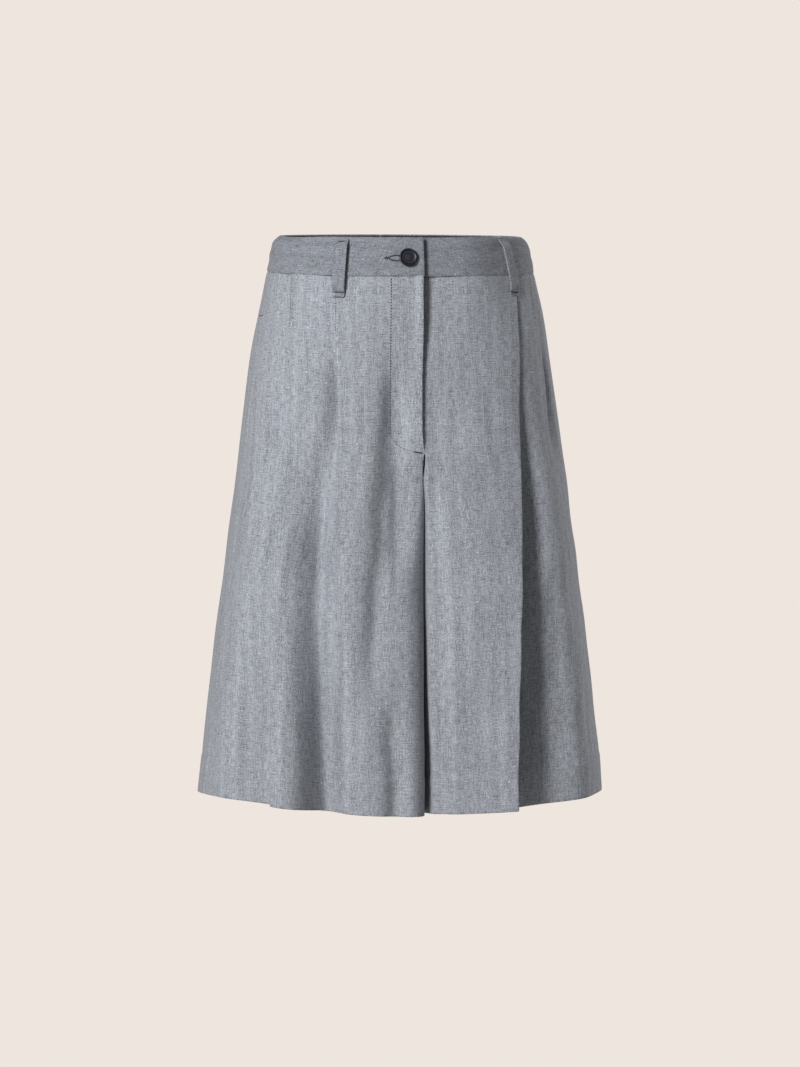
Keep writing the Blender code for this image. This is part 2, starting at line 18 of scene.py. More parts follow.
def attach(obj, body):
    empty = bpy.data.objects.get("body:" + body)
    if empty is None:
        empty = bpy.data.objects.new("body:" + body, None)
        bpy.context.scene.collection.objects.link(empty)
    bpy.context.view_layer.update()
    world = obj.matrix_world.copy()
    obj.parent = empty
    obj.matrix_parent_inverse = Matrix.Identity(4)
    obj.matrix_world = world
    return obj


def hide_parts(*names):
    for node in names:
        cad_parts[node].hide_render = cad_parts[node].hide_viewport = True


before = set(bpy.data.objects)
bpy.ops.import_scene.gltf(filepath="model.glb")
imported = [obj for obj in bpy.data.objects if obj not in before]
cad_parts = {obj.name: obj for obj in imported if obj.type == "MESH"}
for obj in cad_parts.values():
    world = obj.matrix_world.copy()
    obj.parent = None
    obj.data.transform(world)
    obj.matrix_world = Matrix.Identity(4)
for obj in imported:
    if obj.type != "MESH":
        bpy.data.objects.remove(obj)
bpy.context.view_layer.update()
MM = 0.001
SIDES = {"right": -1, "left": 1}
print("nodes to dress:", sorted(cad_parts))

# %% [markdown]
# ## The camera
#
# The picture was taken from the wearer's right, a little off the front, with a long lens and no tilt. A long
# lens keeps the two sides of the hem almost level. The frame's height is fixed first, because the lens is worked
# out from it: focal length = sensor height x distance / picture height in the shorts' plane.

# %% Camera
TURN = math.radians(12.5)  # the camera stands this far round to the wearer's right
DISTANCE = 4500
FRAME_HEIGHT = 1067  # millimetres of the shorts' plane that the picture's height takes in
LOOK_LEVEL, LOOK_SIDE = -296.5, -0.6  # height of the picture's middle, and how far it passes beside the origin
SENSOR = 36


def stack(*parts):
    """Arrays spread to one shape and put side by side as the last axis."""
    return np.stack(np.broadcast_arrays(*parts), axis=-1)


def circle(count):
    """Cosines and sines of even turns."""
    turn = np.linspace(0, 2 * math.pi, count, endpoint=False)
    return np.cos(turn), np.sin(turn)


def add_object(name, data):
    """A new object in the scene."""
    made = bpy.data.objects.new(name, data)
    bpy.context.scene.collection.objects.link(made)
    return made


def aim(thing, way):
    """Turns a camera or a lamp to look along a direction."""
    thing.rotation_euler = Vector(way).to_track_quat("-Z", "Y").to_euler()


camera_data = bpy.data.cameras.new("camera")
camera_data.sensor_fit = "VERTICAL"
camera_data.sensor_width = camera_data.sensor_height = SENSOR
camera_data.lens = SENSOR * DISTANCE / FRAME_HEIGHT
camera = add_object("camera", camera_data)
toward = np.array([math.sin(TURN), math.cos(TURN), 0])
beside = np.array([math.cos(TURN), -math.sin(TURN), 0])
eye = (beside * LOOK_SIDE - toward * DISTANCE + [0, 0, LOOK_LEVEL]) * MM
camera.location = eye
aim(camera, toward)
bpy.context.scene.camera = camera
print("camera at", np.round(eye, 3), "lens", round(camera_data.lens, 1), "mm")

# %% [markdown]
# ## Floor and light
#
# A product picture like this has an even, pale background and one large soft source on the left, so each fold
# has a light and a shaded side. A weaker one behind the other side lights the far leg's outline. The backdrop is
# the world's colour, which the camera sees as it is, while the cloth gets a weaker share of it as fill, most of
# it from the lit side. A pale round floor lies under the shorts, below the picture.

# %% Stage and lights
BACKDROP = (0.855, 0.791, 0.730)
FLOOR_COLOUR, FLOOR_RADIUS, FLOOR_HEIGHT = (0.52, 0.50, 0.47), 2.2, -1.14  # in metres
FILL_COLOUR, FILL_TURN, FILL_RISE = (0.92, 0.95, 1), 50, 22
FILL = {"From Min": -0.5, "From Max": 0.9, "To Min": 0.05, "To Max": 0.21}  # cosine off the lit side to strength
LIGHTS = {"key": (43, 20, 63.5, 0.7), "edge": (-112, 15, 40, 0.9)}  # turn, rise, power, size
LIGHT_DISTANCE = 2.6


def flat_material(name, colour, roughness, specular=0.5):
    """One plain colour."""
    made = bpy.data.materials.new(name)
    made.use_nodes = True
    inputs = made.node_tree.nodes["Principled BSDF"].inputs
    inputs["Base Color"].default_value = (*colour, 1)
    inputs["Roughness"].default_value, inputs["Specular IOR Level"].default_value = roughness, specular
    return made


def way_to(turn, rise):
    """Direction `turn` degrees round from the front to the picture's left, to its right if negative, and `rise` up."""
    turn, rise = math.radians(turn), math.radians(rise)
    return Vector((-math.sin(turn) * math.cos(rise), -math.cos(turn) * math.cos(rise), math.sin(rise)))


def make_floor():
    """A round floor under the shorts: one face with a circle of points as its border."""
    cos, sin = circle(96)
    mesh = bpy.data.meshes.new("floor")
    mesh.from_pydata(stack(FLOOR_RADIUS * cos, FLOOR_RADIUS * sin, FLOOR_HEIGHT).tolist(), [], [range(96)])
    mesh.materials.append(flat_material("pale_floor", FLOOR_COLOUR, 0.9))
    add_object("floor", mesh)


def make_world():
    """World colour: the backdrop for the camera, and a fill that is stronger from the lit side and from above."""
    world = bpy.data.worlds.new("studio")
    world.use_nodes = True
    nodes, link = world.node_tree.nodes, world.node_tree.links.new
    nodes.clear()
    out, mixed, path, fill, seen, way, facing, strength = (nodes.new("ShaderNode" + kind) for kind in (
        "OutputWorld", "MixShader", "LightPath", "Background", "Background", "TexCoord", "VectorMath", "MapRange"))
    fill.inputs["Color"].default_value, seen.inputs["Color"].default_value = (*FILL_COLOUR, 1), (*BACKDROP, 1)
    facing.operation = "DOT_PRODUCT"
    facing.inputs[1].default_value = way_to(FILL_TURN, FILL_RISE)
    for name, value in FILL.items():
        strength.inputs[name].default_value = value
    link(way.outputs["Generated"], facing.inputs[0])
    link(facing.outputs["Value"], strength.inputs["Value"])
    link(strength.outputs["Result"], fill.inputs["Strength"])
    for socket, source in zip(mixed.inputs, (path.outputs["Is Camera Ray"], fill.outputs[0], seen.outputs[0])):
        link(source, socket)
    link(mixed.outputs[0], out.inputs[0])
    bpy.context.scene.world = world


make_floor()
make_world()
for name, (turn, rise, power, size) in LIGHTS.items():
    lamp = add_object(name, bpy.data.lights.new(name, "AREA"))
    lamp.data.energy, lamp.data.size = power, size
    lamp.location = Vector((0, 0, LOOK_LEVEL * MM)) + way_to(turn, rise) * LIGHT_DISTANCE
    aim(lamp, -way_to(turn, rise))
bpy.context.scene.view_settings.view_transform = "Standard"
print("stage and lights ready")

# %% [markdown]
# ## The garment's sections
#
# Worn shorts are an oval tube that widens from the waist to the hem, so one table of horizontal sections gives
# the whole form: half width, depth in front, depth behind and how square the oval is. A smooth curve through
# each column gives any level between. The cut pieces are then walked along these ovals, so their true width
# along the cloth is known and the weave can follow it.

# %% Sizes of the form
BAND_HEIGHT = 35
TOP_DROP, WAIST_TILT = 0.3, 8.2  # waistband's edge at the sides; lower in front, higher behind
SEAM_DROP, SEAM_TILT = 34.2, 10.3  # the same for its seam
WAIST_ROLL, ROLL_FADE = 0.012, 200  # the waist is higher at the wearer's left, until this far below the band
HEM_LEVEL, HEM_DIP, HEM_CURVE, LEG_RAISE = 552.5, 19.5, 2.1, 1.9
FLY_LEVEL, CROTCH_LEVEL, SEAT_LEVEL = 206.5, 296.5, 190
CROTCH_CURVE = 1.8
INSEAM_Y, SIDE_SEAM_Y = 10, -16
SECTIONS = {
    "level": (0, 35, 65, 105, 165, 265, 365, 465, HEM_LEVEL),
    "half_width": (125.9, 133.5, 140, 147.2, 155.3, 166.5, 179.7, 192.2, 201.5),
    "front": (96, 101, 103.5, 106, 109, 112.5, 115, 117, 118.5),
    "back": (96, 101, 107, 114, 121, 125, 126, 127, 128),
    "square": (2.10, 2.10, 2.15, 2.20, 2.30, 2.40, 2.45, 2.50, 2.50),
}


def share(value, start, stop):
    """0 at `start`, 1 at `stop`, straight between and level outside; `start` may be the larger."""
    return np.clip((value - start) / (stop - start), 0, 1)


def smooth_step(t):
    """0 below 0, 1 above 1, and 3t^2 - 2t^3 between."""
    t = np.clip(t, 0, 1)
    return t * t * (3 - 2 * t)


def ease(value, start, stop):
    """The smooth step from 0 at `start` to 1 at `stop`."""
    return smooth_step((value - start) / (stop - start))


def mix(low, high, t):
    """A straight blend from `low` at t = 0 to `high` at t = 1."""
    return low + (high - low) * t


def bell(t):
    """A soft ridge: e^(-t^2 / 2)."""
    return np.exp(-0.5 * t * t)


def section(name, level):
    """One column of the table at any level, by a cubic whose slopes are the table's own."""
    at, value = np.array(SECTIONS["level"]), np.array(SECTIONS[name])
    slope = np.gradient(value, at)
    i = np.clip(np.searchsorted(at, level) - 1, 0, len(at) - 2)
    span = at[i + 1] - at[i]
    t = (level - at[i]) / span
    start = (1 + 2 * t) * (1 - t) ** 2 * value[i] + t * (1 - t) ** 2 * span * slope[i]
    end = t * t * (3 - 2 * t) * value[i + 1] + t * t * (t - 1) * span * slope[i + 1]
    return start + end


def ring(theta, level):
    """Plan point on the oval: x = half width x cos^(2/k), y = -depth x sin^(2/k), k the squareness."""
    power = 2 / section("square", level)
    cos, sin = np.cos(theta), np.sin(theta)
    depth = np.where(sin > 0, section("front", level), section("back", level))
    x = section("half_width", level) * np.sign(cos) * np.abs(cos) ** power
    return x, -depth * np.sign(sin) * np.abs(sin) ** power


def angle_at(x, level):
    """The angle at which the oval is x wide."""
    return np.arccos(np.clip(x / section("half_width", level), 0, 1) ** (section("square", level) / 2))


def lift(x, y, level, side):
    """Height of a plan point: the waist and the hem tilt, roll and dip, and levels between are shared out."""
    depth = np.where(y < 0, section("front", level), section("back", level))
    across, lean = x / section("half_width", level), y / depth
    top, seam = -TOP_DROP + WAIST_TILT * lean, -SEAM_DROP + SEAM_TILT * lean
    hem = -HEM_LEVEL - HEM_DIP * (1 - np.abs(across) ** HEM_CURVE)
    rolled = side * WAIST_ROLL * x * share(level, BAND_HEIGHT + ROLL_FADE, BAND_HEIGHT)
    raised = LEG_RAISE * ease(level, CROTCH_LEVEL, HEM_LEVEL) * (side > 0)
    return (seam + share(level, BAND_HEIGHT, 0) * (top - seam)
            + share(level, BAND_HEIGHT, HEM_LEVEL) * (hem - seam) + rolled + raised)


print("sections at", SECTIONS["level"], "mm below the waist")

# %% [markdown]
# ## Walking a panel
#
# A panel is a grid of points. Its columns are walked along the cloth from the side seam to the middle seam, and
# below the crotch the walk turns a soft corner and runs back along the inside of the leg. The rows hang from
# the waistband to the hem. Sampling a curve by the length walked keeps the cells even, whatever the curve does.
# Levels are a column of numbers and places along the cloth are rows, so a formula on both fills the whole grid.

# %% Panel plan
FACE_STEPS = 400
LEG_GAP_TOP, LEG_GAP_RUN = 0.9, 100  # inner walls from the middle plane: at the fly, soon below it, at the hem
LEG_GAP_SOON, LEG_GAP_HEM = {"right": -1.3, "left": 2.9}, {"right": -0.9, "left": 5.6}
SEAM_GAP = 0.3
CORNERS = {"front_right": 20, "front_left": 7, "back_right": 12, "back_left": 12}
CORNER_START, CORNER_GROWTH, CORNER_SHARE = 2, 150, 0.8
STRIP_TOP, STRIP_END, STRIP_RUN = 8, 1.2, 60


def steps(count, skip=0):
    """Even shares from 0 to 1 in a row, without the first `skip`."""
    return np.linspace(0, 1, count + 1)[None, skip:]


def row_lengths(grid):
    """Distance walked along each row of points."""
    step = np.linalg.norm(np.diff(grid, axis=1), axis=-1)
    return np.concatenate([np.zeros((len(grid), 1)), np.cumsum(step, axis=1)], axis=1)


def read_rows(key, values, wanted):
    """Each row's values at the wanted keys (0 to 1): adding 2 x row number makes one rising list of all rows."""
    shift = 2 * np.arange(key.shape[0])[:, None]
    asked = np.clip(wanted, 0, 1) + shift
    return np.interp(asked.ravel(), (key + shift).ravel(), values.ravel()).reshape(asked.shape)


def outward(x, y, sign):
    """Unit direction square to each row's curve; `sign` is 1 where the rows run round the back from the side."""
    tx, ty = np.gradient(x, axis=1), np.gradient(y, axis=1)
    size = sign * np.hypot(tx, ty)
    return ty / size, -tx / size


def leg_plan(kind, side, levels):
    """One row a level: the oval face from the side seam, a quarter-circle corner, and the inner leg's wall."""
    sign, parting = (-1, FLY_LEVEL) if kind == "front" else (1, SEAT_LEVEL)
    depth, square = section(kind, levels), section("square", levels)
    inward = share(levels, parting, CROTCH_LEVEL) ** CROTCH_CURVE
    inside = inward > 0
    seam_y = mix(sign * depth, INSEAM_Y + sign * SEAM_GAP / 2, inward)
    radius = mix(CORNER_START, CORNERS[f"{kind}_{side}"], ease(levels, FLY_LEVEL, FLY_LEVEL + CORNER_GROWTH))
    radius = np.minimum(radius, CORNER_SHARE * np.abs(seam_y - sign * depth))
    inner_x = mix(LEG_GAP_SOON[side], LEG_GAP_HEM[side], ease(levels, FLY_LEVEL, HEM_LEVEL))
    inner_x = mix(LEG_GAP_TOP, inner_x, ease(levels, FLY_LEVEL, FLY_LEVEL + LEG_GAP_RUN))
    stop_x = np.where(inside, inner_x + radius, 0)
    start = np.arcsin((-SIDE_SEAM_Y / section("front", levels)) ** (square / 2))
    stop = -sign * np.arccos((stop_x / section("half_width", levels)) ** (square / 2))
    key = np.linspace(0, 1, FACE_STEPS) + 0 * levels
    x, y = ring(mix(start, stop, key), levels)
    nx, ny = outward(x, y, sign)
    dist = row_lengths(stack(x, y))
    return dict(levels=levels, sign=sign, key=key, x=x, y=y, dist=dist, nx=nx, ny=ny, start=start, stop=stop,
                face=dist[:, -1:], inner_x=inner_x, inside=inside, turn=radius * math.pi / 2 * inside,
                radius=np.maximum(radius, 1e-6), inner=np.abs(seam_y - (y[:, -1:] - sign * radius)) * inside)


def walk(plan, distance):
    """Plan point and outward direction at a distance from the side seam."""
    face, turn, radius, sign = (plan[name] for name in ("face", "turn", "radius", "sign"))
    x, y, nx, ny = (read_rows(plan["dist"] / face, plan[name], distance / face) for name in ("x", "y", "nx", "ny"))
    past = np.clip(distance - face, 0, None)
    turned = np.minimum(past, turn) / radius
    corner = turn > 0
    x = x - np.where(corner, radius * np.sin(turned), past)
    y = y - sign * corner * (radius * (1 - np.cos(turned)) + np.clip(past - turn, 0, None))
    on_corner = corner & (past > 0)
    return x, y, np.where(on_corner, -np.sin(turned), nx), np.where(on_corner, sign * np.cos(turned), ny)


def inner_edge(plan, past_middle):
    """Distance to a panel's inner edge: round the leg's inside, or `past_middle` beyond the middle above it."""
    return plan["face"] + np.where(plan["inside"], plan["turn"] + plan["inner"], past_middle)


def tail_columns(plan, start, end, counts):
    """Columns from `start` to the inner edge, shared out over the face, the corner and the inner wall.

    Above the crotch those of the corner and the wall stay in a strip that narrows downwards.
    """
    corner = plan["turn"] > 0
    strip = mix(STRIP_END, STRIP_TOP, ease(plan["levels"], FLY_LEVEL, FLY_LEVEL - STRIP_RUN))
    face_end = np.where(corner, plan["face"], end - strip)
    turn_end = face_end + np.where(corner, plan["turn"], strip * counts[1] / (counts[1] + counts[2]))
    return np.concatenate([mix(start, face_end, steps(counts[0])), mix(face_end, turn_end, steps(counts[1], 1)),
                           mix(turn_end, end, steps(counts[2], 1))], axis=1)


print("panel plans ready")

# %% [markdown]
# ## Knife pleats
#
# A knife pleat is an S in plan: the underlay turns about a small arc, the hidden middle layer runs back, and the
# top layer turns again at the fold that is seen. It is stitched down near the waist. Below that the S opens and
# its middle layer shows as a flank. The table holds one row a pleat, the one nearer the side first.

# %% Pleats
CLOTH, FOLD_RADIUS, SEAM_RADIUS, RADIUS_RUN = 1, 0.8, 0.56, 80
STITCHED_LEVEL, FOLD_STEPS = 102, 7
PLEATS = {  # x top, hem; swing; middle top, hem; turn, radius at the hem; ease top, hem; hold; rate, middle's; power
    "right": ((121, 149.5, 2, 18, 24, 152, 1.2, 24, 60, 0, 1.3, 2.5, 3),
              (84.5, 81, 1, 20, 6, 42, 8, 24, 42, 0, 3.2, 7, 1)),
    "left": ((122.5, 160, 1, 12, 3, 6, 8, 18, 50, 0, 3.2, 7, 1),
             (100, 84.5, 1.3, 20, 54, 136, 1, 22, 72, 22, 1.3, 2.8, 3)),
}


def pleat_sizes(row, plan):
    """A pleat's sizes at each level: closed where it is stitched, opening below by smooth steps."""
    (x_top, x_hem, swing, middle_top, middle_hem, turn_hem, radius_hem, ease_top, ease_hem, hold_hem, rate,
     middle_rate, power) = row
    levels = plan["levels"]
    hang = share(levels, STITCHED_LEVEL, HEM_LEVEL)
    fold_x = mix(x_top, x_hem, 1 - (1 - share(levels, BAND_HEIGHT, HEM_LEVEL)) ** swing)
    key = (angle_at(fold_x, levels) - plan["start"]) / (plan["stop"] - plan["start"])
    edge = read_rows(plan["key"], plan["dist"], key)
    turn = np.radians(mix(180, turn_hem, smooth_step(rate * hang)))
    radius = mix(SEAM_RADIUS, FOLD_RADIUS, ease(levels, BAND_HEIGHT, BAND_HEIGHT + RADIUS_RUN))
    radius = mix(radius, radius_hem, hang ** power)
    middle = mix(middle_top, middle_hem, smooth_step(middle_rate * hang))
    end = edge + radius * np.sin(np.minimum(turn, math.pi / 2))
    start = end - 2 * radius * np.sin(turn) - middle * np.cos(turn)
    dip_to = np.minimum(start, edge) - hold_hem * hang
    return dict(turn=turn, radius=radius, middle=middle, start=start, end=end, dip_to=dip_to,
                dip_from=dip_to - mix(ease_top, ease_hem, smooth_step(hang)),
                depth=2 * radius * (1 - np.cos(turn)) + middle * np.sin(turn))


def fold_walk(size):
    """The S from underlay to top layer: arc of `turn` at `radius`, a straight run of `middle`, the arc back."""
    turn, radius, middle = (size[name] for name in ("turn", "radius", "middle"))
    sin, cos = np.sin(turn), np.cos(turn)
    first, run, second = turn * steps(FOLD_STEPS), middle * steps(FOLD_STEPS, 1), turn * (1 - steps(FOLD_STEPS, 1))
    along = (radius * np.sin(first), radius * sin + run * cos,
             middle * cos + radius * (2 * sin - np.sin(second)))
    out = (radius * (1 - np.cos(first)), radius * (1 - cos) + run * sin,
           middle * sin + radius * (1 - 2 * cos + np.cos(second)))
    return np.concatenate(along, axis=1), np.concatenate(out, axis=1)


print("pleats:", sum(len(rows) for rows in PLEATS.values()))

# %% [markdown]
# ## Folds and creases of the hanging cloth
#
# Worn cloth hangs in soft ridges and troughs that start at the hips and grow to the hem, and it keeps creases
# where the body pulls it. Both are listed as rows of two short tables. A slow waviness from a few
# crossed waves of unlike lengths breaks up every surface that would be too even.

# %% Folds and creases
SPREAD_TOP, SPREAD_HEM, FOLD_FADE = 0.7, 1.2, 14
FOLDS = {  # x at the top and the hem, level it starts at, spread, rise
    "front_right": ((131, 100.5, 60, 12.5, -33), (132, 135, 90, 13, 7),
                    (166, 172, 200, 9, -2.5), (150, 157, 330, 9, -3)),
    "front_left": ((110, 106, 90, 29, 8), (141, 160, 260, 13, 2.5)),
    "back_right": ((104, 138, 120, 22, 7), (70, 92, 120, 18, -6), (38, 48, 160, 18, 5)),
    "back_left": ((96, 126, 120, 20, 6), (62, 80, 120, 17, -6), (30, 40, 160, 16, 4)),
}
CREASES = {  # from x and level, to x and level, width, widening on the side, rise
    "front_right": ((22, 75, 58, 480, 9.5, 1.5, -10.5), (34, 425, 27, 640, 7, 1, -8),
                    (103, 180, 104, 370, 10, 1, -18), (24, 185, 28, 335, 9, 1.3, -4.5),
                    (35, 120, 26, 225, 7, 1.4, -5)),
    "front_left": ((46, 120, 52, 470, 16, 1, 4), (96, 15, 97, 330, 21, 1, 6),
                   (100, 150, 106, 750, 33, 1, 17)),
}
CREASE_ENDS, WANDER, WANDER_RUN = 0.35, 0.12, 11  # share of its length in which it swells; its sideways swing
WAVES = (  # waves a metre across and down the cloth, phase, height in millimetres
    (9, 2, 0.3, 0.30), (17, -3.5, 1.9, 0.22), (31, 4, 4.1, 0.12), (6, -7, 2.7, 0.25),
    (23, 9, 5.2, 0.10), (3, 11, 0.9, 0.18), (47, -6, 3.3, 0.05))


def soft_folds(piece, x, plan):
    """Sum of bells: rise x growth x e^(-((x - crest) / spread)^2 / 2), the crest sliding from waist to hem."""
    corner = plan["inner_x"] + CORNERS[piece]
    out = np.zeros_like(x)
    for x_top, x_hem, start, spread, rise in FOLDS[piece]:
        grown = ease(plan["levels"], start, HEM_LEVEL)
        out += rise * grown * bell((x - mix(x_top, x_hem, grown)) / (spread * mix(SPREAD_TOP, SPREAD_HEM, grown)))
    return out * ease(x, corner, corner + FOLD_FADE)


def creases(piece, x, levels):
    """Short soft troughs or ridges along a line: a bell across it that swells and fades along it."""
    out = np.zeros_like(x)
    for x_from, level_from, x_to, level_to, width, lean, rise in CREASES.get(piece, ()):
        dx, dl = x_to - x_from, level_to - level_from
        length = math.hypot(dx, dl)
        along = ((x - x_from) * dx + (levels - level_from) * dl) / length
        off = ((x - x_from) * dl - (levels - level_from) * dx) / length
        off = off - WANDER * width * np.sin(along / WANDER_RUN + x_from)
        swell = ease(along, 0, CREASE_ENDS * length) * ease(along, length, (1 - CREASE_ENDS) * length)
        out += rise * swell * bell(off / (width * np.where(off < 0, lean, 1)))
    return out


def waviness(u, v, phase):
    """Slow unevenness of the cloth: a sum of height x sin(2 pi (across u + down v) + phase)."""
    return sum(size * np.sin(2 * math.pi * (across * u + down * v) * MM + shift + phase)
               for across, down, shift, size in WAVES)


print("folds:", sum(len(rows) for rows in FOLDS.values()))

# %% [markdown]
# ## The cloth's finish
#
# The cloth is a plain weave of mixed light and dark fibres, so it reads as a cool grey with long faint streaks
# down it, shorter yarns between, short bars across, a fine speckle, and here and there a pale nep. All of it is
# worked out from the weave's own coordinates (metres across and down the cut cloth), so it follows every fold.
# The shared group gives only a shade, a mask and a normal; each material chooses its own colours. The band and the
# loops are drawn in a darker copy of the cloth as painted shade, and the band's inside in a near-black copy as
# painted shade inside the waist.

# %% Materials
NEP_COLOUR = (0.62, 0.64, 0.67)
NEP_SIZE, NEP_FROM, NEP_GAIN = (2.2, 2.4), 0.785, 16
WEAVE_NOISES = (  # millimetres across and down, detail, weight in the shade
    ("speckle", 0.9, 1.2, 1, 1.75), ("yarns", 1.3, 9, 1, 0.95), ("streaks", 7, 110, 2, 0.65),
    ("weft", 8, 1.2, 1, 0.85))
THREADS_A_METRE, THREAD_HEIGHT = 1500, 0.22
BUMP_STRENGTH, BUMP_DEPTH = 0.55, 0.00035
CLOTH_SURFACE, CLOTH_SHEEN = (0.92, 0.18), {"Sheen Weight": 0.22, "Sheen Roughness": 0.5}


def make_weave_group():
    """Shade = 1 + sum of weight x (noise - 1/2); neps where a small noise peaks; a bump from threads and yarns."""
    group = bpy.data.node_groups.new("weave", "ShaderNodeTree")
    for name, kind in (("Shade", "NodeSocketFloat"), ("Nep", "NodeSocketFloat"), ("Normal", "NodeSocketVector")):
        group.interface.new_socket(name, in_out="OUTPUT", socket_type=kind)
    out, place_on, parted, bump = (group.nodes.new(kind) for kind in (
        "NodeGroupOutput", "ShaderNodeUVMap", "ShaderNodeSeparateXYZ", "ShaderNodeBump"))
    place_on.uv_map = "weave"
    group.links.new(place_on.outputs[0], parted.inputs[0])
    u, v = parted.outputs[0], parted.outputs[1]

    def calc(kind, a, b=0.0):
        """A maths node whose inputs are sockets or plain numbers."""
        made = group.nodes.new("ShaderNodeMath")
        made.operation = kind
        for socket, value in zip(made.inputs, (a, b)):
            if isinstance(value, (int, float)):
                socket.default_value = value
            else:
                group.links.new(value, socket)
        return made.outputs[0]

    def noise_of(across, down, detail):
        """A noise whose cells are `across` by `down` millimetres on the cloth."""
        joined = group.nodes.new("ShaderNodeCombineXYZ")
        group.links.new(calc("MULTIPLY", u, 1000 / across), joined.inputs[0])
        group.links.new(calc("MULTIPLY", v, 1000 / down), joined.inputs[1])
        noise = group.nodes.new("ShaderNodeTexNoise")
        noise.inputs["Scale"].default_value, noise.inputs["Detail"].default_value = 1, detail
        group.links.new(joined.outputs[0], noise.inputs["Vector"])
        return noise.outputs["Fac"]

    shade, height = 1, 0
    for name, across, down, detail, weight in WEAVE_NOISES:
        noise = noise_of(across, down, detail)
        shade = calc("ADD", shade, calc("MULTIPLY", calc("SUBTRACT", noise, 0.5), weight))
        if name != "streaks":
            height = calc("ADD", height, noise)
    peak = calc("MAXIMUM", calc("SUBTRACT", noise_of(*NEP_SIZE, 0), NEP_FROM), 0)
    nep = calc("SMOOTH_MIN", calc("MULTIPLY", peak, NEP_GAIN), 1)
    warp, weft = (calc("SINE", calc("MULTIPLY", at, 2 * math.pi * THREADS_A_METRE)) for at in (u, v))
    threads = calc("MULTIPLY", calc("MULTIPLY", warp, weft), THREAD_HEIGHT)
    bump.inputs["Strength"].default_value, bump.inputs["Distance"].default_value = BUMP_STRENGTH, BUMP_DEPTH
    group.links.new(calc("ADD", height, threads), bump.inputs["Height"])
    for name, source in (("Shade", shade), ("Nep", nep), ("Normal", bump.outputs[0])):
        group.links.new(source, out.inputs[name])
    return group


def cloth_material(name, colour):
    """Matt woven cloth: colour x shade, neps mixed in, a faint sheen of loose fibre ends."""
    made = flat_material(name, colour, *CLOTH_SURFACE)
    nodes, link = made.node_tree.nodes, made.node_tree.links.new
    shader = nodes["Principled BSDF"]
    for key, value in CLOTH_SHEEN.items():
        shader.inputs[key].default_value = value
    weave, shaded, mixed = (nodes.new("ShaderNode" + kind) for kind in ("Group", "VectorMath", "Mix"))
    weave.node_tree = weave_group
    shaded.operation, mixed.data_type = "SCALE", "RGBA"
    shaded.inputs[0].default_value = colour
    mixed.inputs["B"].default_value = (*NEP_COLOUR, 1)
    link(weave.outputs["Shade"], shaded.inputs["Scale"])
    link(weave.outputs["Nep"], mixed.inputs["Factor"])
    link(shaded.outputs[0], mixed.inputs["A"])
    link(mixed.outputs["Result"], shader.inputs["Base Color"])
    link(weave.outputs["Normal"], shader.inputs["Normal"])
    return made


weave_group = make_weave_group()
FINISHES = {
    "cloth": cloth_material("melange_cloth", (0.318, 0.333, 0.367)),
    # painted shade: the band and the loops are the same cloth, drawn darker for their shade
    "band": cloth_material("melange_band_painted_shade", (0.229, 0.241, 0.270)),
    # painted shade: a near-black copy of the cloth for the shade inside the waistband
    "facing": cloth_material("band_inside_painted_shade", (0.045, 0.048, 0.058)),
    "thread": flat_material("sewing_thread", (0.035, 0.040, 0.050), 0.7, 0.2),
    "pale_thread": flat_material("pale_thread", (0.34, 0.35, 0.37), 0.7, 0.2),
    "body": flat_material("button", (0.008, 0.009, 0.016), 0.42, 0.4),
    "disc": flat_material("button_disc", (0.016, 0.018, 0.027), 0.6, 0.4),
    "marks": flat_material("button_marks", (0.060, 0.064, 0.078), 0.5),
}
print("materials:", ", ".join(FINISHES))

# %% [markdown]
# ## From a grid to a cloth shell
#
# Every cut piece becomes a closed shell: the grid moved half the wall outwards, the same grid moved inwards, and
# a round edge between them. Writing the whole mesh from arrays is quick and keeps the folds exact; a thickness
# modifier would bulge in the tight folds of the pleats.

# %% Shells
panels = {}


def unit(vectors):
    """Vectors scaled to length 1."""
    return vectors / np.maximum(np.linalg.norm(vectors, axis=-1, keepdims=True), 1e-12)


def closed_wall(grid, wall, flipped):
    """Vertices, faces and source index of a shell.

    Outer = grid + n h and inner = grid - n h, n the unit normal and h half the wall. The border's three rings
    are at grid + h (n cos a + e sin a) for a = 45, 90 and 135 degrees, e the direction off the border.
    """
    rows, columns = grid.shape[:2]
    count = rows * columns
    along, down = unit(np.gradient(grid, axis=1)), unit(np.gradient(grid, axis=0))
    off = np.zeros_like(grid)
    off[0], off[-1] = -down[0], down[-1]
    off[:, 0] -= along[:, 0]
    off[:, -1] += along[:, -1]
    number = np.arange(count).reshape(rows, columns)
    border = np.concatenate([number[0, :-1], number[:-1, -1], number[-1, :0:-1], number[:0:-1, 0]])
    normal = unit(np.cross(along, down)) * (-1 if flipped else 1)
    middle, normal, off = (part.reshape(-1, 3) for part in (grid, normal, unit(off)))
    half = 0.5 * np.broadcast_to(wall, (rows, columns)).reshape(-1, 1)
    rings = [middle[border] + half[border] * (normal[border] * math.cos(a) + off[border] * math.sin(a))
             for a in np.radians((45, 90, 135))]
    points = np.concatenate([middle + normal * half, middle - normal * half, *rings])
    face = stack(number[:-1, :-1], number[:-1, 1:], number[1:, 1:], number[1:, :-1]).reshape(-1, 4)
    belts = [border, *(2 * count + np.arange(3 * len(border)).reshape(3, -1)), border + count]
    faces = np.concatenate([face, face[:, ::-1] + count] + [
        stack(np.roll(a, -1), a, b, np.roll(b, -1)) for a, b in zip(belts[:-1], belts[1:])])
    return points, faces[:, ::-1] if flipped else faces, np.concatenate([number.ravel()] * 2 + [border] * 3)


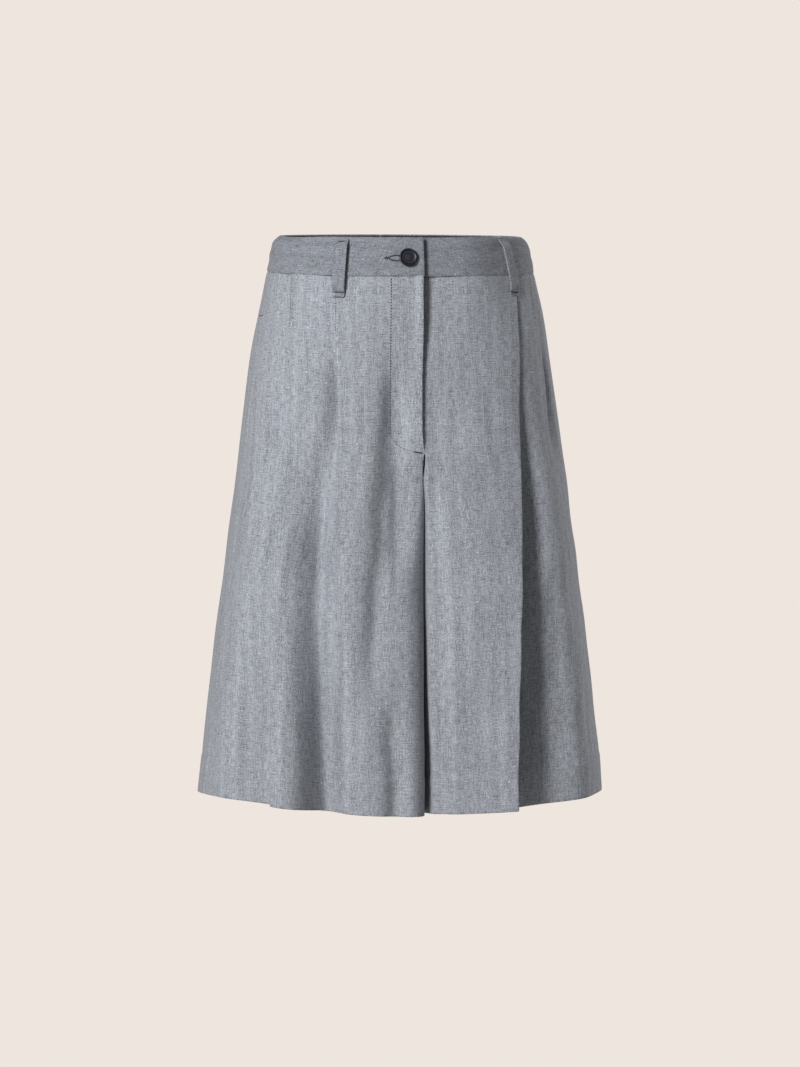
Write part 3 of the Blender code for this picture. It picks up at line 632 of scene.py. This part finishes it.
def new_piece(name, points, faces, finish, slot, node=None, uv=None):
    """A mesh piece in millimetres that rides on the frame; `uv` holds each vertex's place on the cut cloth."""
    mesh = bpy.data.meshes.new(name)
    mesh.from_pydata((points * MM).tolist(), [], faces)
    if uv is not None:
        layer = mesh.uv_layers.new(name="weave")
        corner = np.empty(len(mesh.loops), dtype=np.int32)
        mesh.loops.foreach_get("vertex_index", corner)
        layer.data.foreach_set("uv", (uv[corner] * MM).astype(np.float32).ravel())
    mesh.materials.append(FINISHES[finish])
    mesh.shade_smooth()
    made = add_object(name, mesh)
    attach(made, "root")
    if node:
        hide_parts(node)
    return made


def cloth_piece(name, node, grid, u, v, wall, finish, flipped):
    """A cut piece: its shell with the weave's coordinates u and v."""
    points, faces, source = closed_wall(grid, wall, flipped)
    uv = stack(u, v).reshape(-1, 2)[source]
    made = panels[node] = new_piece(name, points, faces.tolist(), finish, "cloth", node, uv)
    right, down = grid[:-1, 1:] - grid[:-1, :-1], grid[1:, :-1] - grid[:-1, :-1]
    area_now = np.linalg.norm(np.cross(right, down), axis=-1).sum() * MM * MM
    print(f"{name}: {len(faces) * 2} triangles, {area_now:.4f} square metres")


# %% [markdown]
# ## The four panels
#
# A front panel is the plan walked from the side seam through both pleats to the fly; the wearer's right front
# laps over the left one, which sinks under it. Just below the fly the legs part: there the left leg's edge lies
# deeper and the right leg slopes into the gap, both moved straight away from the camera. A back panel has no
# pleats. Each seam has a shallow ditch where the stitching pulls it in, and the turned-up hem makes the last
# centimetres thicker.

# %% Panels
PANEL_ROWS = {"front": 196, "back": 150}
SIDE_STEPS, BETWEEN_STEPS, FRONT_STEPS, BACK_STEPS = 35, 31, (52, 10, 22), (80, 10, 20)
FLY_LAP, UNDER_LAP, CLOSING_LEVELS = 0.6, 5, (205, 197)
FLY_EDGE_LEVELS, FLY_EDGE_LAPS = (35, 50, 90, 135, 185, 206.5), (-0.3, -0.8, -1, -2.5, -2.8, -1.3)
FLY_LAYERS = {  # rise at the waist, low down; between levels; distances off the edge; run above the fly's end
    "right": (3.2, 1, (50, 130), (9, 0), 12),
    "left": (-7.6, -5.2, (60, 130), (62.6, 6.6), 1.5),
}
GAP_SINK, GAP_SINK_WIDTH, GAP_SINK_RUN, GAP_SINK_ROUND = 12, 18, 60, (-50, -10)  # the left leg beside the gap
GAP_FALL, GAP_FALL_FROM, GAP_FALL_SOFT, GAP_FALL_ROUND = 0.36, 40, 12, (-90, -30)  # and the right one: its slope
GAP_FALL_LEVELS, GAP_FALL_SHARES = (190, 235, 330, 480), (0, 1, 1, 0)
HEM_TURN, HEM_EXTRA, HEM_SOFT = 38, 0.5, 3
SIDE_DITCH, BAND_DITCH, DITCH_WIDTH, HEM_LINE, HEM_LINE_WIDTH = 0.45, 0.6, 2.2, 0.25, 1.1
WAVE_FADE_EDGE, WAVE_FADE_TOP = 22, 30
PHASES = {"right": 0, "left": 2.2}


def place(x, y, nx, ny, rise, levels, side):
    """Plan points moved outwards by `rise` and lifted to their height; the wearer's right side is mirrored."""
    sign = SIDES[side]
    return stack(sign * (x + nx * rise), y + ny * rise, lift(x, y, levels, sign))


def finishing(distance, levels):
    """Seam ditches at the side seam and at the band, and the line where the turned-up hem begins."""
    below = levels - (HEM_LEVEL - HEM_TURN)
    ditch = SIDE_DITCH * bell(distance / DITCH_WIDTH) + BAND_DITCH * bell((levels - BAND_HEIGHT) / DITCH_WIDTH)
    return HEM_LINE * (smooth_step(below / HEM_SOFT) - bell(below / HEM_LINE_WIDTH)) - ditch


def gap_depth(side, levels, x, before_corner):
    """How much deeper the cloth lies beside the gap between the legs; both forms run out round the corner."""
    if side == "left":
        return (GAP_SINK * ease(before_corner, GAP_SINK_WIDTH, 0) * ease(before_corner, *GAP_SINK_ROUND)
                * ease(levels, FLY_LEVEL, FLY_LEVEL + GAP_SINK_RUN))
    past = np.clip(GAP_FALL_FROM - x, 0, None)
    return (GAP_FALL * np.interp(levels, GAP_FALL_LEVELS, GAP_FALL_SHARES) * past
            * ease(past, 0, GAP_FALL_SOFT) * ease(before_corner, *GAP_FALL_ROUND))


def front_columns(plan, side):
    """Columns of a front from the side seam through both pleats, their rise off the oval, and the inner edge."""
    levels = plan["levels"]
    lap = np.interp(levels, FLY_EDGE_LEVELS, FLY_EDGE_LAPS) if side == "right" else UNDER_LAP
    end = inner_edge(plan, mix(-LEG_GAP_TOP / 2, lap, ease(levels, *CLOSING_LEVELS)))
    outer, inner = (pleat_sizes(row, plan) for row in PLEATS[side])
    (outer_along, outer_out), (inner_along, inner_out) = fold_walk(outer), fold_walk(inner)
    parts = [outer["start"] * steps(SIDE_STEPS)[:, :-1], outer["start"] + outer_along,
             mix(outer["end"], inner["start"], steps(BETWEEN_STEPS)[:, 1:-1]), inner["start"] + inner_along,
             tail_columns(plan, inner["end"], end, FRONT_STEPS)[:, 1:]]
    distance = np.concatenate(parts, axis=1)
    ends = np.cumsum([part.shape[1] for part in parts])
    top, low, change, width, run = FLY_LAYERS[side]
    rise = mix(top, low, ease(levels, *change)) * ease(levels, FLY_LEVEL, FLY_LEVEL - run)
    rise = rise * ease(end - distance, *width)
    # Beside a fold's edge the panel lies as deep as the underlay, and eases back to the oval from there.
    for size, out, first, last in ((outer, outer_out, ends[0], ends[1]), (inner, inner_out, ends[2], ends[3])):
        rise[:, :last] -= size["depth"] * ease(distance[:, :last], size["dip_from"], size["dip_to"])
        rise[:, first:last] += out
    return distance, rise, end


def make_panel(kind, side):
    """A panel: the walk moved outwards by its layers, waves, folds, creases and seams, then given a wall."""
    name = f"{kind}_{side}"
    levels = np.linspace(BAND_HEIGHT + SEAM_GAP / 2, HEM_LEVEL, PANEL_ROWS[kind])[:, None]
    plan = leg_plan(kind, side, levels)
    if kind == "front":
        distance, rise, end = front_columns(plan, side)
    else:
        end, rise = inner_edge(plan, -SEAM_GAP / 2), 0
        distance = tail_columns(plan, SEAM_GAP, end, BACK_STEPS)
    x, y, nx, ny = walk(plan, distance)
    fade = ease(end - distance, 0, WAVE_FADE_EDGE) * ease(levels, BAND_HEIGHT, BAND_HEIGHT + WAVE_FADE_TOP)
    rise = rise + fade * waviness(-plan["sign"] * distance, levels, PHASES[side])
    rise += soft_folds(name, x, plan) + creases(name, x, levels) + finishing(distance, levels)
    grid = place(x, y, nx, ny, rise, levels, side)
    u = row_lengths(grid)
    if kind == "front":
        grid += gap_depth(side, levels, x, plan["face"] - distance)[..., None] * toward
        u = distance - plan["face"]
    wall = CLOTH + HEM_EXTRA * smooth_step((levels - (HEM_LEVEL - HEM_TURN)) / HEM_SOFT)
    cloth_piece("panel_" + name, name, grid, u, levels, wall, "cloth", (kind == "front") == (side == "right"))
    widths = row_lengths(grid)[:, -1]
    print("  width of the cut at the top and the hem:", round(float(widths[0])), round(float(widths[-1])))


for side in SIDES:
    make_panel("front", side)
    make_panel("back", side)

# %% [markdown]
# ## Waistband and the strip behind the fly
#
# The waistband is cut in two halves that meet at the centre back. Its grain runs round the body, so its weave
# coordinates are turned. The right half ends over the left one at the closed front; the left half runs on
# behind it, a little deeper, to hold the button. The top edge leans in at the hips and stands a little higher in
# front. The band is drawn in a darker copy of the cloth as painted shade, and its inside in a near-black copy as
# painted shade inside the waist. The fly's strip behind is plain, because it is hidden.

# %% Band and shield
BAND_WALL, BAND_PUFF = 1.9, 0.35
BAND_ROWS, BAND_COLUMNS = 24, 300
BAND_ENDS = {  # how far it runs past the middle; its rise there, and where that grows
    "right": (FLY_LAP, 0.5, (-6, 0)),
    "left": (33, -5.4, (-56, -1)),
}
BAND_WAVE, BAND_WAVE_DOWN, BAND_CALM, BAND_STILL = 0.6, 8, 20, 4  # waves end in front and just behind the side
CORNER_FROM, CORNER_IN, CORNER_DOWN = 0.82, 4.8, 8  # the top edge leans in at the hips
FRONT_RISE, FRONT_FROM, FRONT_TO = 1.2, 0.45, 0.75  # and stands a little higher in front
BAND_GRAIN, LOOP_GRAIN = 700, 900  # these pieces use their own stretches of the weave
SHIELD_FROM, SHIELD_TO, SHIELD_DEPTH, SHIELD_TOP, SHIELD_END = -18, 11, 10.4, 35.5, 186
SHIELD_LEVEL, SHIELD_CUT, SHIELD_ROWS, SHIELD_COLUMNS = 100, (34, 152), 60, 20


def ring_grid(theta, levels, rise, side):
    """Points on the oval sections, moved outwards by `rise`."""
    x, y = ring(theta, levels)
    return place(x, y, *outward(x, y, -1), rise, levels, side)


def make_band(side):
    """Half of the waistband, from the centre back to its end at the closed front; its inside gets painted shade."""
    lap, end_rise, grows = BAND_ENDS[side]
    levels = np.linspace(0, BAND_HEIGHT - SEAM_GAP / 2, BAND_ROWS)[:, None]
    across = levels / BAND_HEIGHT
    half_width = section("half_width", BAND_HEIGHT / 2)
    theta = np.linspace(-math.pi / 2 + SEAM_GAP / 2 / half_width, math.pi / 2 + lap / half_width, BAND_COLUMNS)
    past = (theta - math.pi / 2) * half_width
    calm = ease(past, 0, -BAND_CALM) * ease(np.abs(past + 2 * half_width), BAND_STILL, BAND_STILL + BAND_CALM)
    rise = (BAND_PUFF * (1 - (2 * across - 1) ** 4) + end_rise * ease(past, *grows)
            + BAND_WAVE * waviness(past, BAND_WAVE_DOWN * levels, 1 + PHASES[side]) * calm
            - CORNER_IN * share(levels, CORNER_DOWN, 0) ** 2 * ease(np.abs(np.cos(theta)), CORNER_FROM, 1))
    grid = ring_grid(theta, levels, rise, side)
    grid[..., 2] += FRONT_RISE * ease(np.sin(theta), FRONT_FROM, FRONT_TO) * (1 - across)
    v = row_lengths(grid)
    cloth_piece("band_" + side, "waistband_" + side, grid, BAND_GRAIN + levels, v, BAND_WALL, "band",
                side == "left")
    mesh = panels["waistband_" + side].data
    # painted shade: the faces of the band's inside take the near-black copy of the cloth
    painted_shade_faces = np.zeros(len(mesh.polygons), dtype=np.int32)
    painted_shade_faces[:(BAND_ROWS - 1) * (BAND_COLUMNS - 1)] = 1
    mesh.materials.append(FINISHES["facing"])
    mesh.polygons.foreach_set("material_index", painted_shade_faces)


for side in SIDES:
    make_band(side)

levels = np.linspace(SHIELD_TOP, SHIELD_END, SHIELD_ROWS)[:, None]
theta = math.pi / 2 - np.linspace(SHIELD_TO, SHIELD_FROM, SHIELD_COLUMNS) / section("half_width", SHIELD_LEVEL)
grid = ring_grid(theta, levels, -SHIELD_DEPTH, "left")
cloth_piece("shield", "fly_shield", grid, row_lengths(grid), levels, CLOTH, "cloth", True)

# %% [markdown]
# ## Belt loops
#
# A belt loop is a folded strip, seated at both ends and standing off the band between them, so a belt can pass.
# Its length runs down a line on the body, and its width lies across it.

# %% Loops
LOOPS = {  # side of the body, front or back, x at the top and at the lower end
    "belt_loop_front_right": (-1, 1, 75, 81),
    "belt_loop_front_left": (1, 1, 85.8, 97),
    "belt_loop_back_right": (-1, -1, 84, 88),
    "belt_loop_back_left": (1, -1, 84, 88),
    "belt_loop_back_centre": (1, -1, 0, 0),
}
LOOP_WIDTH, LOOP_WALL, LOOP_TOP_LEVEL, LOOP_END_LEVEL = 11, 1.6, 1, 56
LOOP_STAND, LOOP_SLACK, LOOP_RISE, LOOP_FALL = 3.6, 0.2, 0.16, 0.2
LOOP_PUFF, LOOP_PRESS, LOOP_PRESS_AT, LOOP_PRESS_WIDTH = 0.25, 0.3, 0.035, 0.02
SEAT_WALL_BAND, SEAT_WALL_PANEL, SEAT_FROM, SEAT_TO = 2.4, 1.2, 0.6, 0.7
LOOP_ROWS, LOOP_COLUMNS = 56, 13


def frame_at(side, facing, x, level):
    """Point on the cloth's middle, and the directions across and out of it."""
    def point(theta, at):
        px, py = ring(theta, at)
        return np.array([side * px, py, lift(px, py, at, side)])

    theta = facing * angle_at(x, level)
    here = point(theta, level)
    across = unit(point(theta + 0.01, level) - point(theta - 0.01, level))
    out = unit(np.cross(across, point(theta, level + 0.5) - point(theta, level - 0.5)))
    return here, across, out if np.dot(out[:2], here[:2]) > 0 else -out


def loop_grid(side, facing, x_top, x_end):
    """A strip that is seated at both ends; its middle stands off by smooth steps; two shallow stitch lines."""
    width = np.linspace(-LOOP_WIDTH / 2, LOOP_WIDTH / 2, LOOP_COLUMNS)[:, None]
    rows = []
    for t in np.linspace(0, 1, LOOP_ROWS):
        here, across, out = frame_at(side, facing, mix(x_top, x_end, t), mix(LOOP_TOP_LEVEL, LOOP_END_LEVEL, t))
        wall = mix(SEAT_WALL_BAND, SEAT_WALL_PANEL, ease(t, SEAT_FROM, SEAT_TO))
        stand = LOOP_STAND * ease(t, 0, LOOP_RISE) * ease(t, 1, 1 - LOOP_FALL)
        press = LOOP_PRESS * sum(bell((t - at) / LOOP_PRESS_WIDTH) for at in (LOOP_PRESS_AT, 1 - LOOP_PRESS_AT))
        puff = LOOP_PUFF * (1 - (2 * width / LOOP_WIDTH) ** 2)
        rows.append(here + across * width
                    + out * ((wall + LOOP_WALL) / 2 + SEAM_GAP + LOOP_SLACK + stand - press + puff))
    return np.array(rows)


for name, row in LOOPS.items():
    grid = loop_grid(*row)
    cloth_piece(name.replace("belt_loop", "loop"), name, grid, LOOP_GRAIN + row_lengths(grid),
                np.linspace(0, LOOP_END_LEVEL, LOOP_ROWS)[:, None], LOOP_WALL, "band", row[0] < 0)

# %% [markdown]
# ## Button
#
# The button is turned: a profile of radius and height, swept round. It has a raised rim, a flat sunk face with a
# slightly paler disc in its middle, and a ring of small plain marks inside the rim.

# %% Button
BUTTON_X, BUTTON_LEVEL, BUTTON_RADIUS, BUTTON_LIFT = -14.6, 18, 8.9, 0.5
BUTTON_PROFILE = (
    (0, 3.1), (0.25, 3.1), (0.50, 3.1), (0.70, 3.1), (0.75, 3.25), (0.80, 3.6), (0.86, 3.8), (0.91, 3.8),
    (0.955, 3.65), (0.985, 3.4), (1, 3), (1, 2.6), (0.97, 2.2), (0.90, 1.9), (0.60, 1.7), (0.38, 1.6),
    (0.33, 1.4), (0.33, 0.1), (0, 0.1))
DISC_PROFILE = ((0, 3.2), (0.34, 3.2), (0.38, 3.16), (0.39, 3), (0, 3))
BUTTON_STEPS, MARKS, MARK_RADIUS, MARK_HEIGHT, MARK_SIZE = 64, 24, 5.3, 3.12, (1.3, 0.62, 0.3)
BEAD_STEPS, BEAD_ALONG = 6, np.array([1, 0.8, 0, -0.8, -1])


def turned(profile, count):
    """Vertices and faces of a profile (radius, height) swept round the height, closed at both ends."""
    profile = np.array(profile)
    cos, sin = circle(count)
    body = profile[1:-1]
    rings = stack(body[:, :1] * cos, body[:, :1] * sin, body[:, 1:])
    points = np.concatenate([rings.reshape(-1, 3), [[0, 0, profile[0, 1]], [0, 0, profile[-1, 1]]]])
    number = np.arange(len(body) * count).reshape(len(body), count)
    ahead = np.roll(number, -1, axis=1)
    quads = stack(number[:-1], number[1:], ahead[1:], ahead[:-1]).reshape(-1, 4)
    top = stack(number[0], ahead[0], len(points) - 2)
    under = stack(ahead[-1], number[-1], len(points) - 1)
    return points, quads.tolist() + top.tolist() + under.tolist()


def joined(parts):
    """Several point and face lists as one."""
    points, faces, count = [], [], 0
    for some, more in parts:
        points.append(some)
        faces += [[v + count for v in f] for f in more]
        count += len(some)
    return np.concatenate(points), faces


def beads(centres, along, out, size):
    """Small rounded bars of `size` (length, width, height), one a stitch or mark: an egg turned, then stretched."""
    shape, faces = turned(stack(np.sqrt(1 - BEAD_ALONG ** 4), BEAD_ALONG), BEAD_STEPS)
    length, width, height = size
    axes = 0.5 * np.stack([width * unit(np.cross(out, along)), height * out, length * along], axis=1)
    return joined([(points, faces) for points in centres[:, None] + shape @ axes])


here, _, out = frame_at(-1, 1, -BUTTON_X, BUTTON_LEVEL)
face_side = unit(np.cross([0, 0, 1], out))
basis = np.stack([face_side, np.cross(out, face_side), out])
seat = here + out * (BAND_WALL / 2 + BUTTON_LIFT)
radial = stack(*circle(MARKS), 0)
body, disc = (turned(np.array(rows) * (BUTTON_RADIUS, 1), BUTTON_STEPS) for rows in (BUTTON_PROFILE, DISC_PROFILE))
marks = beads(radial * MARK_RADIUS + [0, 0, MARK_HEIGHT], radial, 0 * radial + [0, 0, 1], MARK_SIZE)
for finish, (points, faces), node in (("body", body, "button"), ("marks", marks, None), ("disc", disc, None)):
    new_piece("button_" + finish, points @ basis + seat, faces, finish, "button", node)
print("button seated at", np.round(seat, 1))

# %% [markdown]
# ## Stitching
#
# Stitches are placed where they are seen: a line of points in the camera's plane is dropped onto the cloth, and
# a small bar of thread is laid at each point. Dropping keeps every stitch on the surface however the folds lie.

# %% Stitches
THREAD_SINK = 0.1


def tree_of(name):
    """A search tree of one piece's surface."""
    mesh = panels[name].data
    return BVHTree.FromPolygons([v.co for v in mesh.vertices], [p.vertices[:] for p in mesh.polygons])


def drop(tree, spots):
    """Where the camera's lines through spots of its plane first meet the cloth, and the cloth's direction there.

    A spot is (across, up) in millimetres from the picture's middle, measured in the plane through the shorts.
    """
    found, normals = [], []
    for across, up in spots:
        way = unit(toward * DISTANCE + beside * across + np.array([0, 0, up]))
        hit, normal, _, _ = tree.ray_cast(Vector(eye), Vector(way))
        if hit is not None:
            found.append(np.array(hit) / MM)
            normals.append(np.array(normal))
    return np.array(found), np.array(normals)


def spaced(path, pitch):
    """Points at an even pitch along a path of straight pieces."""
    path = np.array(path, dtype=float)
    length = row_lengths(path[None])[0]
    at = np.arange(pitch / 2, length[-1], pitch)
    return stack(*(np.interp(at, length, values) for values in path.T))


def sew(name, path, pitch, size, across=False):
    """Stitches along a path, or across it for a bar tack: beads whose long side follows the cloth's surface."""
    found, normals = drop(trees[name], spaced(path, pitch))
    along = np.gradient(found, axis=0)
    along = unit(along - normals * np.sum(along * normals, axis=1, keepdims=True))
    if across:
        along = unit(np.cross(normals, along))
    return beads(found + normals * (size[2] / 2 - THREAD_SINK), along, normals, size)


def add_thread(name, seams, finish="thread"):
    """All stitches of one kind as one piece; a seam is what `sew` asks for."""
    new_piece(name, *joined([sew(*seam) for seam in seams]), finish, "cloth")


def curve(points, count=6):
    """A smooth path through points, by a Catmull-Rom cubic."""
    p = np.array(points, dtype=float)
    p = np.concatenate([[2 * p[0] - p[1]], p, [2 * p[-1] - p[-2]]])
    t = np.linspace(0, 1, count, endpoint=False)[:, None]
    runs = [0.5 * (2 * b + (c - a) * t + (2 * a - 5 * b + 4 * c - d) * t ** 2 + (3 * b - a - 3 * c + d) * t ** 3)
            for a, b, c, d in zip(p[:-3], p[1:-2], p[2:-1], p[3:])]
    return np.concatenate(runs + [p[-2:-1]])


# Lines of stitching, as (across, up) in millimetres from the picture's middle.
FLY_LINE = ((-8.6, 255.5), (-10.2, 100))
FLY_CURVE = curve([(-10.2, 100), (-6, 92), (1.5, 86), (9, 83), (18.5, 81.4)])
PLEAT_LINES = (  # beside each fold, as far as the pleat is stitched down
    ("front_right", ((-107.9, 258), (-110.2, 208))), ("front_right", ((-64, 239), (-64.6, 203))),
    ("front_left", ((117.4, 240), (118.2, 210))), ("front_left", ((129.6, 258), (134, 214))))
BAR_TACKS = (  # piece, from, to, width
    ("front_right", (14, 81.7), (22, 80.4), 1.6),
    ("back_right", (-140.6, 217.8), (-136.6, 217.8), 1.3),
    ("belt_loop_front_right", (-61.6, 291.8), (-54.8, 292.4), 1.4),
    ("belt_loop_front_right", (-65.6, 241.6), (-56.2, 241.2), 1.3),
    ("belt_loop_front_left", (97.8, 294.6), (105.2, 294.9), 1.4),
    ("belt_loop_front_left", (108.4, 242.2), (118.4, 240.9), 1.3),
)

trees = {name: tree_of(name) for name in ("waistband_right", "front_left", *(row[0] for row in BAR_TACKS))}
add_thread("stitches_fly", [("front_right", FLY_LINE, 2.9, (1.5, 1.1, 0.6)),
                            ("front_right", FLY_CURVE, 2.2, (1.8, 0.55, 0.4))])
add_thread("stitches_pleats", [(name, line, 2.6, (1.3, 0.7, 0.4)) for name, line in PLEAT_LINES])
add_thread("bar_tacks", [(name, (start, end), 0.55, (width, 0.5, 0.5), True) for name, start, end, width in BAR_TACKS])

# %% [markdown]
# ## Buttonhole
#
# The buttonhole runs into the band beside the button. Its two edges are sewn with short stitches side by side,
# so it has the outline of a lens. Paler thread fills the slit between them, and a few stitches close the end
# at the button.

# %% Buttonhole
SLIT_FROM, SLIT_TO, SLIT_UP, SLIT_OPEN = -11, 3, 275.4, 2.3
EDGE_SIZE, EDGE_OFF, EDGE_PITCH = (1.5, 0.75, 0.6), 0.5, 0.9
END_STITCHES = ((-15.6, 276.2), (-14.6, 274.4), (-13.6, 276.8), (-12.7, 274.3), (-11.7, 276.7), (-10.9, 274.9))

along_slit = np.linspace(0.02, 0.98, 30)
half = SLIT_OPEN * (1 - (2 * along_slit - 1) ** 2) + EDGE_OFF  # the lens: half opening by the place along it
across = mix(SLIT_FROM, SLIT_TO, along_slit)
upper, lower = stack(across, SLIT_UP + half), stack(across, SLIT_UP - half)[::-1]
band = "waistband_right"
add_thread("buttonhole_edges", [(band, upper, EDGE_PITCH, EDGE_SIZE, True), (band, lower, EDGE_PITCH, EDGE_SIZE, True),
                                (band, END_STITCHES, EDGE_PITCH, (1.3, 0.9, 0.6))])
add_thread("buttonhole_thread", [
    (band, ((SLIT_FROM + 3, SLIT_UP + 0.1), (SLIT_TO, SLIT_UP + 0.1)), 1, (2.3, 0.7, 0.6), True)], "pale_thread")
print("stitching done")
